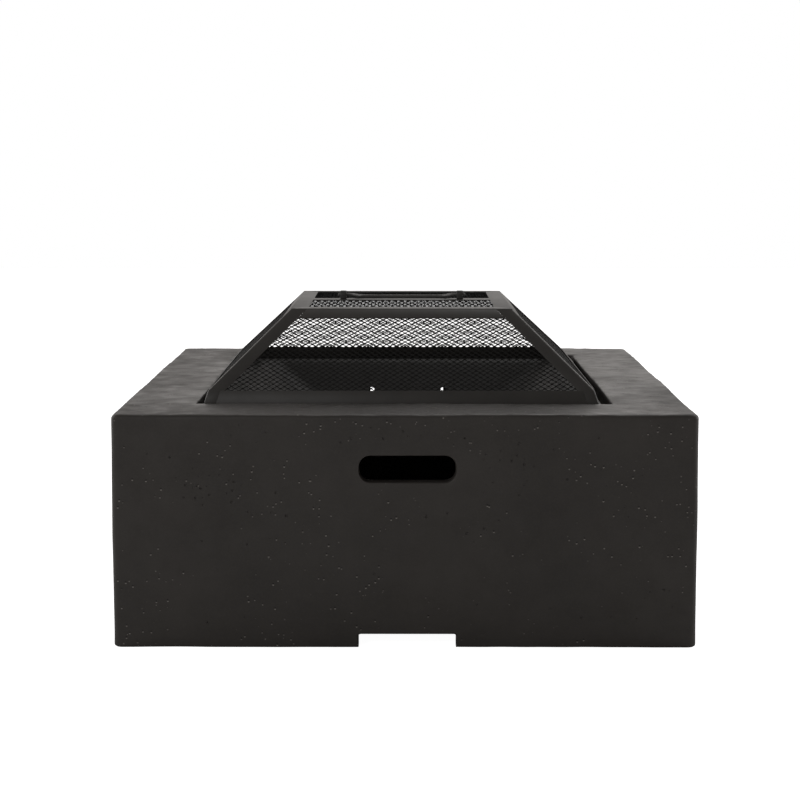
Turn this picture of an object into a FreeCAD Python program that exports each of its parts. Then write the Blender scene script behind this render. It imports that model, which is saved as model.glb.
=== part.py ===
import FreeCAD, Part
import math
import os

# Square fire pit: a cast shell, a pressed steel bowl, a log grate and a mesh lid with a bail handle.
# Millimetres. +X is to the right, +Y is to the rear, +Z is up. The origin is the centre of the base.

Vector = FreeCAD.Vector
X_AXIS = Vector(1, 0, 0)
Y_AXIS = Vector(0, 1, 0)
Z_AXIS = Vector(0, 0, 1)
ORIGIN = Vector(0, 0, 0)
SIDES = ["front", "right", "back", "left"]

# Cast shell
BODY_H = 268.0
BODY_TOP_HALF = 330.0
BODY_BASE_HALF = 332.0
BODY_CORNER_R = 9.0
BODY_TOP_EDGE_R = 5.0
BODY_BASE_EDGE_R = 2.5
BODY_WALL = 16.0
BODY_SLAB = 18.0
RECESS_HALF = 243.0
RECESS_CORNER_R = 7.0
RECESS_DEPTH = 21.0
LEDGE_HALF = 215.0
OPENING_SHIFT_X = 3.0
HAND_SLOT_W = 109.0
HAND_SLOT_H = 30.0
HAND_SLOT_R = 12.5
HAND_SLOT_Z = 206.4
NOTCH_W = 111.0
NOTCH_H = 15.5
NOTCH_INNER_R = 2.0
NOTCH_MOUTH_R = 5.0

# Steel bowl, which lies loose in the recess, a little turned and to the right
BOWL_TURN = -1.0
BOWL_SHIFT_X = 1.2
BOWL_SHEET = 1.2
FLANGE_HALF = 235.0
FLANGE_CORNER_R = 6.0
FLANGE_Z = 265.5
BOWL_MOUTH_HALF = 200.0
BOWL_FLOOR_HALF = 100.0
BOWL_FLOOR_Z = 194.0
BOWL_CORNER_R = 22.0
VENT_OFFSET = 50.0
VENT_Z = 230.0
VENT_W = 7.0
VENT_L = 12.0
DRAIN_R = 4.0

# Log grate
GRATE_HALF = 122.0
GRATE_ROD_R = 3.0
GRATE_BEND_R = 14.0
GRATE_BARS = 5
GRATE_BAR_PITCH = 40.0
GRATE_CLEARANCE = 0.3

# Mesh lid, which stands loose on the bowl's flange, a little to the left. Its outer faces are a
# pyramid, with a steeper skirt below the bend
LID_SHIFT_X = -4.0
LID_SHEET = 1.0
LID_BASE_HALF = 232.5
LID_BEND_HALF = 227.5
LID_BEND_Z = 281.0
LID_TOP_HALF = 134.4
LID_TOP_Z = 369.8
RAIL_END_INSET = 14.5
CORNER_STRIP_W = 16.0
TOP_LIP_W = 15.6
TOP_STRIP_W = 20.0
CENTRE_STRIP_W = 28.0
MESH_T = 1.2
MESH_EDGE_INSET = 6.0
MESH_FOOT = 1.0
MESH_HEAD = 6.0
TOP_MESH_HALF = 128.0

# Bail handle and its lugs
LUG_X = 75.5
LUG_T = 8.0
LUG_W = 11.0
PIVOT_Z = 375.5
BAIL_ROD_R = 2.25
BAIL_CLEARANCE = 0.05
BAIL_END_X = 82.5
BAIL_SHOULDER_X = 66.0
BAIL_BAR_X = 54.0
BAIL_REACH = 24.0
BAIL_SHOULDER_R = 8.0
BAIL_BAR_R = 12.0
BAIL_REST_GAP = 0.3
BAIL_END_CHAMFER = 0.6

# Worked out from the above
RECESS_FLOOR_Z = BODY_H - RECESS_DEPTH
BOWL_SLOPE = math.atan2(FLANGE_Z - BOWL_FLOOR_Z, BOWL_MOUTH_HALF - BOWL_FLOOR_HALF)
# Cutting tools and blanks reach this far past what they cut
FAR = 400.0
SPARE = 5.0


def rounded_wire(points, radii, closed=True):
    """Straight runs through the points, with each corner rounded by its radius."""
    count = len(points)
    edges = []
    first = None
    last = None
    for i, corner in enumerate(points):
        if not closed and i in (0, count - 1):
            entry = corner
            leave = corner
            arc = None
        else:
            to_previous = (points[i - 1] - corner).normalize()
            to_next = (points[(i + 1) % count] - corner).normalize()
            half_angle = to_previous.getAngle(to_next) / 2
            reach = radii[i] / math.tan(half_angle)
            entry = corner + to_previous * reach
            leave = corner + to_next * reach
            inward = (to_previous + to_next).normalize()
            middle = corner + inward * (radii[i] / math.sin(half_angle) - radii[i])
            arc = Part.Arc(entry, middle, leave).toShape()
        if last is None:
            first = entry
        else:
            edges.append(Part.LineSegment(last, entry).toShape())
        if arc is not None:
            edges.append(arc)
        last = leave
    if closed:
        edges.append(Part.LineSegment(last, first).toShape())
    return Part.Wire(edges)


def square_wire(half, corner_r, z):
    corners = [
        Vector(-half, -half, z),
        Vector(half, -half, z),
        Vector(half, half, z),
        Vector(-half, half, z),
    ]
    return rounded_wire(corners, [corner_r] * 4)


def is_level(edge):
    return edge.BoundBox.ZLength < 0.01


def square_block(half_low, half_high, corner_r, z_low, z_high):
    """A square block or frustum with flat sides and rounded upright corners."""
    low = half_low
    high = half_high
    block = Part.makeWedge(-low, z_low, -low, -high, -high, low, z_high, low, high, high)
    block.rotate(ORIGIN, X_AXIS, 90)
    upright = [edge for edge in block.Edges if not is_level(edge)]
    return block.makeFillet(corner_r, upright)


def box(x_low, x_high, y_low, y_high, z_low, z_high):
    corner = Vector(x_low, y_low, z_low)
    return Part.makeBox(x_high - x_low, y_high - y_low, z_high - z_low, corner)


def turned(shape, quarter_turns):
    """A copy turned about the vertical axis, which takes the front to the right."""
    copy = shape.copy()
    copy.rotate(ORIGIN, Z_AXIS, 90 * quarter_turns)
    return copy


def rod(path, radius):
    """A round rod along a wire."""
    edge = path.OrderedEdges[0]
    start = edge.valueAt(edge.FirstParameter)
    tangent = edge.tangentAt(edge.FirstParameter)
    section = Part.Wire(Part.Circle(start, tangent, radius).toShape())
    return path.makePipeShell([section], True, False)


# ---- Cast shell ----


def edges_at_height(shape, z):
    return [edge for edge in shape.Edges if is_level(edge) and abs(edge.BoundBox.ZMin - z) < 0.01]


def body_outside():
    block = square_block(BODY_BASE_HALF, BODY_TOP_HALF, BODY_CORNER_R, 0, BODY_H)
    block = block.makeFillet(BODY_TOP_EDGE_R, edges_at_height(block, BODY_H))
    return block.makeFillet(BODY_BASE_EDGE_R, edges_at_height(block, 0))


def body_hollow():
    """The space inside, open below, which steps down around the recess at the top."""
    inner_r = BODY_CORNER_R / 2
    roof_z = BODY_H - BODY_SLAB
    roof_half = BODY_TOP_HALF - BODY_WALL
    hollow = square_block(BODY_BASE_HALF - BODY_WALL, roof_half, inner_r, 0, roof_z)
    shelf_half = RECESS_HALF + BODY_WALL
    shelf = square_block(shelf_half, shelf_half, inner_r, RECESS_FLOOR_Z - BODY_SLAB, BODY_H)
    return hollow.cut(shelf)


def recess_and_ledge_hole():
    top = BODY_H + SPARE
    recess = square_block(RECESS_HALF, RECESS_HALF, RECESS_CORNER_R, RECESS_FLOOR_Z, top)
    hole = square_block(LEDGE_HALF, LEDGE_HALF, RECESS_CORNER_R, BODY_H / 2, BODY_H)
    return recess.fuse(hole)


def hand_slots():
    """One slot in the front wall and one in the back wall, a little off the middle."""
    left = OPENING_SHIFT_X - HAND_SLOT_W / 2
    right = OPENING_SHIFT_X + HAND_SLOT_W / 2
    low = HAND_SLOT_Z - HAND_SLOT_H / 2
    high = HAND_SLOT_Z + HAND_SLOT_H / 2
    outline = [
        Vector(left, -FAR, low),
        Vector(right, -FAR, low),
        Vector(right, -FAR, high),
        Vector(left, -FAR, high),
    ]
    wire = rounded_wire(outline, [HAND_SLOT_R] * 4)
    return Part.Face(wire).extrude(Y_AXIS * 2 * FAR)


def foot_notch():
    """The low notch through two opposite walls, with its mouth flared by round corners."""
    left = OPENING_SHIFT_X - NOTCH_W / 2
    right = OPENING_SHIFT_X + NOTCH_W / 2
    flare = NOTCH_MOUTH_R * 2
    outline = [
        Vector(left - flare, -FAR, -flare),
        Vector(right + flare, -FAR, -flare),
        Vector(right + flare, -FAR, 0),
        Vector(right, -FAR, 0),
        Vector(right, -FAR, NOTCH_H),
        Vector(left, -FAR, NOTCH_H),
        Vector(left, -FAR, 0),
        Vector(left - flare, -FAR, 0),
    ]
    blank_r = 1.0
    mouth = [NOTCH_MOUTH_R, NOTCH_INNER_R, NOTCH_INNER_R, NOTCH_MOUTH_R]
    radii = [blank_r] * 3 + mouth + [blank_r]
    wire = rounded_wire(outline, radii)
    return Part.Face(wire).extrude(Y_AXIS * 2 * FAR)


def body_shell():
    shell = body_outside().cut(body_hollow())
    shell = shell.cut(recess_and_ledge_hole())
    shell = shell.cut(hand_slots())
    for quarter in range(2):
        shell = shell.cut(turned(foot_notch(), quarter))
    return shell


# ---- Steel bowl ----


def bowl_vent():
    """A slot through the front wall of the bowl, longer along the slope than across it."""
    end = VENT_L / 2 - VENT_W / 2
    tool = box(-VENT_W / 2, VENT_W / 2, -end, end, -SPARE, SPARE)
    for y in (-end, end):
        tool = tool.fuse(Part.makeCylinder(VENT_W / 2, 2 * SPARE, Vector(0, y, -SPARE)))
    tool.rotate(ORIGIN, X_AXIS, -math.degrees(BOWL_SLOPE))
    run = (VENT_Z - BOWL_FLOOR_Z) / math.tan(BOWL_SLOPE)
    tool.translate(Vector(0, -BOWL_FLOOR_HALF - run, VENT_Z))
    return tool


def fire_bowl():
    grow = BOWL_SHEET / math.sin(BOWL_SLOPE) - BOWL_SHEET / math.tan(BOWL_SLOPE)
    under_z = BOWL_FLOOR_Z - BOWL_SHEET
    flange_under_z = FLANGE_Z - BOWL_SHEET
    tray = square_block(FLANGE_HALF, FLANGE_HALF, FLANGE_CORNER_R, RECESS_FLOOR_Z, FLANGE_Z)
    tray_inner = FLANGE_HALF - BOWL_SHEET
    inner_r = FLANGE_CORNER_R - BOWL_SHEET
    tray = tray.cut(
        square_block(tray_inner, tray_inner, inner_r, RECESS_FLOOR_Z - SPARE, flange_under_z)
    )
    floor_half = BOWL_FLOOR_HALF
    mouth_half = BOWL_MOUTH_HALF
    outer_r = BOWL_CORNER_R + grow
    outer = square_block(floor_half + grow, mouth_half + grow, outer_r, under_z, flange_under_z)
    inner = square_block(floor_half, mouth_half, BOWL_CORNER_R, BOWL_FLOOR_Z, FLANGE_Z)
    bowl = tray.fuse(outer).cut(inner)
    for quarter in range(4):
        for x in (-VENT_OFFSET, VENT_OFFSET):
            vent = bowl_vent()
            vent.translate(Vector(x, 0, 0))
            bowl = bowl.cut(turned(vent, quarter))
    drain = Part.makeCylinder(DRAIN_R, 2 * SPARE, Vector(0, 0, BOWL_FLOOR_Z - SPARE))
    return bowl.cut(drain).removeSplitter()


# ---- Log grate ----


def grate_z():
    """Height of the rods' centres, where the frame comes to rest on the sloping walls."""
    wall_z = BOWL_FLOOR_Z + (GRATE_HALF - BOWL_FLOOR_HALF) * math.tan(BOWL_SLOPE)
    return wall_z + (GRATE_ROD_R + GRATE_CLEARANCE) / math.cos(BOWL_SLOPE)


def grate_frame():
    return rod(square_wire(GRATE_HALF, GRATE_BEND_R, grate_z()), GRATE_ROD_R)


def grate_bar(index, frame):
    """A rod from front to back, with its ends shaped to the frame that they are welded to."""
    x = (index - (GRATE_BARS - 1) / 2) * GRATE_BAR_PITCH
    start = Vector(x, -GRATE_HALF, grate_z())
    return Part.makeCylinder(GRATE_ROD_R, 2 * GRATE_HALF, start, Y_AXIS).cut(frame)


# ---- Mesh lid ----
# The four sides are built at the front and turned into place.


class LidPlane:
    """An outer face of the lid's front side, from its half widths and heights at foot and head.

    On it, u runs to the right, v runs up the face from its foot and w is the height above it."""

    def __init__(self, foot_half, foot_z, head_half, head_z):
        self.foot_half = foot_half
        self.foot_z = foot_z
        self.length = math.hypot(foot_half - head_half, head_z - foot_z)
        self.cos = (foot_half - head_half) / self.length
        self.sin = (head_z - foot_z) / self.length

    def at(self, u, v, w):
        y = -self.foot_half + v * self.cos - w * self.sin
        z = self.foot_z + v * self.sin + w * self.cos
        return Vector(u, y, z)

    def edge_u(self, v):
        """Half the width of the face at v, out to the lid's edge."""
        return self.foot_half - v * self.cos

    def level_width(self, width):
        """How far a strip of this width along the lid's edge reaches, measured level."""
        return width * math.hypot(self.cos, 1)

    def plate(self, outline, w_low, w_high):
        """A flat plate along the face, from its outline in u and v."""
        points = [self.at(u, v, w_low) for u, v in outline]
        points.append(points[0])
        normal = self.at(0, 0, 1) - self.at(0, 0, 0)
        return Part.Face(Part.makePolygon(points)).extrude(normal * (w_high - w_low))

    def band(self, v_low, v_high, inset, w_low, w_high):
        """A band across the face whose ends run parallel to the lid's edges."""
        outline = [
            (-self.edge_u(v_low) + inset, v_low),
            (self.edge_u(v_low) - inset, v_low),
            (self.edge_u(v_high) - inset, v_high),
            (-self.edge_u(v_high) + inset, v_high),
        ]
        return self.plate(outline, w_low, w_high)

    def edge_strip(self, side, width, v_low, v_high):
        """A sheet along one edge of the face. side is -1 for the left edge and 1 for the right."""
        level = self.level_width(width)
        outline = [
            (side * (self.edge_u(v_low) - level), v_low),
            (side * (self.edge_u(v_low) + level), v_low),
            (side * (self.edge_u(v_high) + level), v_high),
            (side * (self.edge_u(v_high) - level), v_high),
        ]
        return self.plate(outline, -LID_SHEET, 0)


SKIRT = LidPlane(LID_BASE_HALF, FLANGE_Z, LID_BEND_HALF, LID_BEND_Z)
SLOPE = LidPlane(LID_BEND_HALF, LID_BEND_Z, LID_TOP_HALF, LID_TOP_Z)


def above_flange(shape):
    """The part of a lid piece that is above the bowl's flange, which the lid stands on."""
    return shape.cut(box(-FAR, FAR, -FAR, FAR, 0, FLANGE_Z))


def front_quarter():
    """Everything between the two upright diagonal planes at the front."""
    points = [ORIGIN, Vector(-FAR, -FAR, 0), Vector(FAR, -FAR, 0), ORIGIN]
    return Part.Face(Part.makePolygon(points)).extrude(Z_AXIS * 2 * FAR)


def lid_rail():
    """A strip along the foot of one side, which laps over the corner strips at both ends."""
    return above_flange(SKIRT.band(-SPARE, SKIRT.length, RAIL_END_INSET, 0, LID_SHEET))


def corner_strip_half(side):
    """The flank of a corner strip on the front side, bent at the skirt."""
    slope = SLOPE.edge_strip(side, CORNER_STRIP_W, 0, SLOPE.length + SPARE)
    slope = slope.cut(box(-FAR, FAR, -FAR, FAR, LID_TOP_Z - LID_SHEET, 2 * FAR))
    skirt = SKIRT.edge_strip(side, CORNER_STRIP_W, -SPARE, SKIRT.length)
    return above_flange(slope.fuse(skirt)).common(front_quarter())


def lid_corner():
    """The folded strip over the front right edge of the lid."""
    folded = corner_strip_half(1).fuse(turned(corner_strip_half(-1), 1))
    return folded.removeSplitter()


def lid_top_strip():
    """One side of the top frame: a flat strip with a lip folded down between the corner strips."""
    under_z = LID_TOP_Z - LID_SHEET
    head = SLOPE.length + SPARE
    end_inset = SLOPE.level_width(CORNER_STRIP_W)
    lip = SLOPE.band(SLOPE.length - TOP_LIP_W, head, end_inset, -LID_SHEET, 0)
    lip = lip.cut(box(-2 * FAR, 2 * FAR, -FAR, FAR, LID_TOP_Z, 2 * FAR))
    inner_y = -LID_TOP_HALF + TOP_STRIP_W
    flat = box(-FAR, FAR, -LID_TOP_HALF - SPARE, inner_y, under_z, LID_TOP_Z)
    outside = SLOPE.band(0, head, -FAR, 0, 2 * SPARE)
    return lip.fuse(flat).cut(outside).common(front_quarter()).removeSplitter()


def lid_mesh_side():
    """The sheet of expanded metal under one side's frame, as a plain sheet."""
    head = SLOPE.length - MESH_HEAD
    return SLOPE.band(MESH_FOOT, head, MESH_EDGE_INSET, -LID_SHEET - MESH_T, -LID_SHEET)


def lid_mesh_top():
    """The sheet of expanded metal under the top frame, as a plain sheet."""
    top_z = LID_TOP_Z - LID_SHEET
    half = TOP_MESH_HALF
    return box(-half, half, -half, half, top_z - MESH_T, top_z)


def lid_centre_strip():
    half = LID_TOP_HALF - TOP_STRIP_W
    edge = CENTRE_STRIP_W / 2
    return box(-half, half, -edge, edge, LID_TOP_Z - LID_SHEET, LID_TOP_Z)


# ---- Bail handle ----


def handle_lug(side):
    """An upright ear on the centre strip, with a rounded head around the pivot hole."""
    low_x = side * LUG_X - LUG_T / 2
    half_w = LUG_W / 2
    ear = box(low_x, low_x + LUG_T, -half_w, half_w, LID_TOP_Z, PIVOT_Z)
    ear = ear.fuse(Part.makeCylinder(half_w, LUG_T, Vector(low_x, 0, PIVOT_Z), X_AXIS))
    hole_start = Vector(low_x - SPARE, 0, PIVOT_Z)
    hole = Part.makeCylinder(BAIL_ROD_R + BAIL_CLEARANCE, LUG_T + 2 * SPARE, hole_start, X_AXIS)
    return ear.cut(hole).removeSplitter()


def bail_handle():
    """A bent rod through both lugs. It lies folded back, with its bar just over the top mesh."""
    points = [
        Vector(-BAIL_END_X, 0, PIVOT_Z),
        Vector(-BAIL_SHOULDER_X, 0, PIVOT_Z),
        Vector(-BAIL_BAR_X, BAIL_REACH, PIVOT_Z),
        Vector(BAIL_BAR_X, BAIL_REACH, PIVOT_Z),
        Vector(BAIL_SHOULDER_X, 0, PIVOT_Z),
        Vector(BAIL_END_X, 0, PIVOT_Z),
    ]
    radii = [0, BAIL_SHOULDER_R, BAIL_BAR_R, BAIL_BAR_R, BAIL_SHOULDER_R, 0]
    bail = rod(rounded_wire(points, radii, closed=False), BAIL_ROD_R)
    end_edges = [edge for edge in bail.Edges if abs(edge.BoundBox.Center.x) > BAIL_END_X - 0.01]
    bail = bail.makeChamfer(BAIL_END_CHAMFER, end_edges)
    bar_z = LID_TOP_Z - LID_SHEET + BAIL_ROD_R + BAIL_REST_GAP
    droop = math.degrees(math.asin((PIVOT_Z - bar_z) / BAIL_REACH))
    bail.rotate(Vector(0, 0, PIVOT_Z), X_AXIS, -droop)
    return bail


def bowl_and_grate_nodes():
    frame = grate_frame()
    nodes = {"fire_bowl": fire_bowl(), "grate_frame": frame}
    for index in range(GRATE_BARS):
        nodes[f"grate_bar_{index + 1}"] = grate_bar(index, frame)
    for shape in nodes.values():
        shape.rotate(ORIGIN, Z_AXIS, BOWL_TURN)
        shape.translate(Vector(BOWL_SHIFT_X, 0, 0))
    return nodes


def lid_and_handle_nodes():
    nodes = {}
    for quarter, side in enumerate(SIDES):
        next_side = SIDES[(quarter + 1) % 4]
        nodes[f"lid_rail_{side}"] = turned(lid_rail(), quarter)
        nodes[f"lid_corner_{side}_{next_side}"] = turned(lid_corner(), quarter)
        nodes[f"lid_top_strip_{side}"] = turned(lid_top_strip(), quarter)
        nodes[f"lid_mesh_{side}"] = turned(lid_mesh_side(), quarter)
    nodes["lid_mesh_top"] = lid_mesh_top()
    nodes["lid_centre_strip"] = lid_centre_strip()
    nodes["handle_lug_left"] = handle_lug(-1)
    nodes["handle_lug_right"] = handle_lug(1)
    nodes["bail_handle"] = bail_handle()
    for shape in nodes.values():
        shape.translate(Vector(LID_SHIFT_X, 0, 0))
    return nodes


all_nodes = {"body_shell": body_shell()}
all_nodes.update(bowl_and_grate_nodes())
all_nodes.update(lid_and_handle_nodes())
os.makedirs("parts", exist_ok=True)
for name, shape in all_nodes.items():
    shape.exportStep(f"parts/{name}.step")
    print(f"{name}: {len(shape.Solids)} solid, valid {shape.isValid()}, {shape.Volume / 1000:.1f} cm3")
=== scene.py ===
import math
import random

import bmesh
import bpy
from mathutils import Matrix, Vector, noise


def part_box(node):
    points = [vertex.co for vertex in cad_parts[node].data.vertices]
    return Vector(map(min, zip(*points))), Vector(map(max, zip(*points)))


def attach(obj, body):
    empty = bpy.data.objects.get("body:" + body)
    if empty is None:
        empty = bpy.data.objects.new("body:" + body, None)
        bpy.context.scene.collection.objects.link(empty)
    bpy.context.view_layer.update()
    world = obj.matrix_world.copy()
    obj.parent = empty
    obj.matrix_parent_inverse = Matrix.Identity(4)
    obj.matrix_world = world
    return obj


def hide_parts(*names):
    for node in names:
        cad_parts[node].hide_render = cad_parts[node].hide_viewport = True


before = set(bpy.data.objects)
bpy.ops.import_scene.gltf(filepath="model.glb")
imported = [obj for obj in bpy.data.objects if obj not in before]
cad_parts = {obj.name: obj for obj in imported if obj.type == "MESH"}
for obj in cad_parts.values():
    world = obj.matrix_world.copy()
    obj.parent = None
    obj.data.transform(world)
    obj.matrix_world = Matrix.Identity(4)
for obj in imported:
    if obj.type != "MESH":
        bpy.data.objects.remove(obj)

# Square fire pit. Lengths are in metres, or in millimetres times MM. -Y is the front.
MM = 0.001
SEED = 24
random.seed(SEED)
noise.seed_set(SEED)
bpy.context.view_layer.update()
SIDES = ["front", "right", "back", "left"]


def span(node, axis):
    low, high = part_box(node)
    return low[axis], high[axis]


def middle(node, axis):
    return sum(span(node, axis)) / 2


# Places read from the frame
BODY_BASE_HALF = span("body_shell", 0)[1]
BODY_H = span("body_shell", 2)[1]
BOWL_X = middle("fire_bowl", 0)
FLANGE_Z = span("fire_bowl", 2)[1]
GRATE_Z = middle("grate_frame", 2)
LID_X = middle("lid_centre_strip", 0)
LID_TOP_Z = span("lid_centre_strip", 2)[1]
LUG_X = middle("handle_lug_right", 0) - LID_X

# Shell
BODY_TOP_HALF = BODY_BASE_HALF - 2 * MM
CORNER_R = 9 * MM
TOP_EDGE_R = 5 * MM
BASE_EDGE_R = 3 * MM
WALL = 16 * MM
SLAB = 18 * MM
RECESS_HALF = 243 * MM
RECESS_R = 7 * MM
RECESS_Z = BODY_H - 21 * MM
LEDGE_HALF = 215 * MM
INNER_R = 5 * MM
OPENING_SHIFT = 3 * MM
SLOT_HALF_W = 54.5 * MM
SLOT_HALF_H = 15 * MM
SLOT_R = 12.5 * MM
SLOT_Z = 206.4 * MM
NOTCH_HALF_W = 55.5 * MM
NOTCH_H = 15.5 * MM
SLOT_FLARE_R = 3 * MM
NOTCH_CORNER_R = 2.5 * MM
NOTCH_FLARE_R = 2 * MM

# Air holes in the shell's sides
PITS_PER_SIDE = 110
PIT_CLUSTERS = 9
CLUSTERED_SHARE = 0.65
CLUSTER_REACH_X = 0.3
CLUSTER_LOW_Z = 0.03
CLUSTER_HIGH_Z = 0.25
CLUSTER_SPREAD_X = 22 * MM
CLUSTER_SPREAD_Z = 12 * MM
STRAY_REACH_X = 0.31
STRAY_LOW_Z = 0.012
STRAY_HIGH_Z = 0.255
PIT_LIMIT_X = 0.315
PIT_LIMIT_LOW_Z = 0.01
PIT_LIMIT_HIGH_Z = 0.257
PIT_CLEAR_X = 75 * MM
PIT_CLEAR_Z = 30 * MM
PIT_SPACING = 4.5 * MM
PIT_SMALL_R = 0.8 * MM
PIT_LARGE_R = 1.9 * MM

# Bowl and log grate
BOWL_TURN = math.radians(-1)
BOWL_SHEET = 1.2 * MM
FLANGE_HALF = 235 * MM
FLANGE_R = 6 * MM
MOUTH_HALF = 200 * MM
FLOOR_HALF = 100 * MM
FLOOR_Z = 194 * MM
BOWL_R = 22 * MM
BOWL_SLOPE = math.atan2(FLANGE_Z - FLOOR_Z, MOUTH_HALF - FLOOR_HALF)
DRAIN_R = 4 * MM
VENT_Z = 230 * MM
VENT_OFFSET = 50 * MM
VENT_R = 3.5 * MM
VENT_END = 2.5 * MM
GRATE_HALF = 122 * MM
GRATE_ROD_R = 3 * MM
GRATE_BEND_R = 14 * MM
GRATE_BARS = 5
GRATE_PITCH = 40 * MM

# Lid: its outer faces are a pyramid, with a steeper skirt below the bend
LID_SHEET = 1 * MM
LID_BASE_HALF = 232.5 * MM
LID_BEND_HALF = 227.5 * MM
LID_BEND_Z = 281 * MM
LID_TOP_HALF = 134.4 * MM
RAIL_INSET = 14.5 * MM
CORNER_W = 16 * MM
CORNER_FOLD_R = 2.2 * MM
LIP_W = 15.6 * MM
TOP_FOLD_R = 2 * MM
TOP_FOLD_W = 1.6 * MM
TOP_STRIP_W = 20 * MM
CENTRE_HALF_W = 14 * MM

# Expanded metal. The top sheet is thinner and lies flatter.
DIAMOND_L = 8.9 * MM
DIAMOND_H = 6.85 * MM
STRAND_W = 1.0 * MM
STRAND_T = 0.6 * MM
STRAND_TILT = math.radians(20)
TOP_STRAND_T = 0.35 * MM
TOP_STRAND_TILT = math.radians(-8)
BOND_L = 2.0 * MM
MESH_DEPTH = 0.7 * MM
MESH_FOOT = 1 * MM
MESH_HEAD = 6 * MM
MESH_EDGE_INSET = 8 * MM
TOP_MESH_HALF = 127 * MM

# Bail handle
PIVOT_Z = 375.5 * MM
ROD_R = 2.25 * MM
LUG_HALF_T = 4 * MM
LUG_HALF_W = 5.5 * MM
LUG_HOLE_R = 2.3 * MM
BAIL_END_X = 82.5 * MM
BAIL_SHOULDER_X = 66 * MM
BAIL_BAR_X = 54 * MM
BAIL_REACH = 24 * MM
BAIL_BOW = 1 * MM
BAIL_REST_GAP = 0.3 * MM
BAIL_END_ROUND = 0.7 * MM
BAIL_BOW_R = 60 * MM
BAIL_ELBOW_R = 12 * MM
BAIL_SHOULDER_R = 8 * MM

# Stage and camera, which looks a little down at the front
WHITE = (1, 1, 1, 1)
WARM = (1, 0.96, 0.925, 1)
FLOOR_REACH = 6.0
LENS_MM = 76.9
SENSOR_MM = 36
CAMERA_PLACE = (0, -2.2176, 0.559)
CAMERA_DOWN = math.radians(8.26)
CAMERA_ASIDE = math.radians(0.16)


# ---- Mesh helpers ----


def new_object(name, verts, faces):
    mesh = bpy.data.meshes.new(name)
    mesh.from_pydata([tuple(v) for v in verts], [], faces)
    mesh.validate()
    piece = bpy.data.objects.new(name, mesh)
    bpy.context.collection.objects.link(piece)
    return piece


def smooth(piece, angle):
    for face in piece.data.polygons:
        face.use_smooth = True
    piece.data.set_sharp_from_angle(angle=math.radians(angle))


def bake_modifiers(piece):
    """Puts the piece's modifiers into its mesh."""
    graph = bpy.context.evaluated_depsgraph_get()
    mesh = bpy.data.meshes.new_from_object(piece.evaluated_get(graph))
    piece.modifiers.clear()
    piece.data = mesh


def bevel(piece, width):
    """Rounds the piece's sharp edges."""
    modifier = piece.modifiers.new("bevel", "BEVEL")
    modifier.width = width
    modifier.segments = 2
    modifier.limit_method = "ANGLE"
    modifier.angle_limit = math.radians(50)
    modifier.use_clamp_overlap = True
    bake_modifiers(piece)


def cut(piece, cutter):
    """Cuts one solid's volume out of another, and drops the cutter."""
    modifier = piece.modifiers.new("cut", "BOOLEAN")
    modifier.operation = "DIFFERENCE"
    modifier.solver = "EXACT"
    modifier.object = cutter
    bake_modifiers(piece)
    bpy.data.objects.remove(cutter)


def square_ring(half, corner_r, per_side, per_corner):
    """Points round a square with rounded corners, starting at the left end of the front side."""
    points = []
    corner_r = min(corner_r, half)
    flat = half - corner_r
    for quarter in range(4):
        turn = Matrix.Rotation(math.radians(90 * quarter), 2)
        for i in range(per_side):
            x = -flat + 2 * flat * i / per_side
            points.append(turn @ Vector((x, -half)))
        for i in range(per_corner):
            angle = math.radians(-90 + 90 * i / per_corner)
            corner = Vector((flat + corner_r * math.cos(angle), -flat + corner_r * math.sin(angle)))
            points.append(turn @ corner)
    return points


def ring_solid(name, stations, per_side, per_corner):
    """A closed skin through square rings. Each station is (half width, height, corner radius)."""
    verts = []
    faces = []
    count = 4 * (per_side + per_corner)
    for half, z, corner_r in stations:
        for point in square_ring(half, corner_r, per_side, per_corner):
            verts.append(Vector((point.x, point.y, z)))
    total = len(stations)
    for s in range(total):
        low = s * count
        high = ((s + 1) % total) * count
        for i in range(count):
            j = (i + 1) % count
            faces.append((low + i, low + j, high + j, high + i))
    return new_object(name, verts, faces)


def arc_stations(centre, radius, start, end, steps, corner_r):
    """Stations round an arc in the section of a ring solid. Angles in degrees."""
    made = []
    for i in range(steps + 1):
        angle = math.radians(start + (end - start) * i / steps)
        half = centre[0] + radius * math.cos(angle)
        z = centre[1] + radius * math.sin(angle)
        made.append((half, z, corner_r))
    return made


def line_stations(start, end, steps, corner_start, corner_end):
    """Stations along a straight run of the section, without its two ends."""
    made = []
    for i in range(1, steps):
        t = i / steps
        half = start[0] + (end[0] - start[0]) * t
        z = start[1] + (end[1] - start[1]) * t
        made.append((half, z, corner_start + (corner_end - corner_start) * t))
    return made


def loft(name, outlines):
    """A solid through outlines that all have the same number of points."""
    verts = [point for outline in outlines for point in outline]
    count = len(outlines[0])
    faces = [tuple(range(count))[::-1], tuple(range(len(verts) - count, len(verts)))]
    for low in range(0, len(verts) - count, count):
        for i in range(count):
            j = (i + 1) % count
            faces.append((low + i, low + j, low + count + j, low + count + i))
    piece = new_object(name, verts, faces)
    fix_normals(piece)
    return piece


def fix_normals(piece):
    work = bmesh.new()
    work.from_mesh(piece.data)
    bmesh.ops.recalc_face_normals(work, faces=work.faces)
    work.to_mesh(piece.data)
    work.free()


def join(name, pieces):
    """One piece from several."""
    verts = []
    faces = []
    for piece in pieces:
        start = len(verts)
        verts += [v.co.copy() for v in piece.data.vertices]
        faces += [tuple(start + i for i in face.vertices) for face in piece.data.polygons]
        bpy.data.objects.remove(piece)
    return new_object(name, verts, faces)


def assign(piece, body, node):
    """Says which body the piece moves with and which CAD node it replaces."""
    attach(piece, body)
    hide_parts(node)


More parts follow.
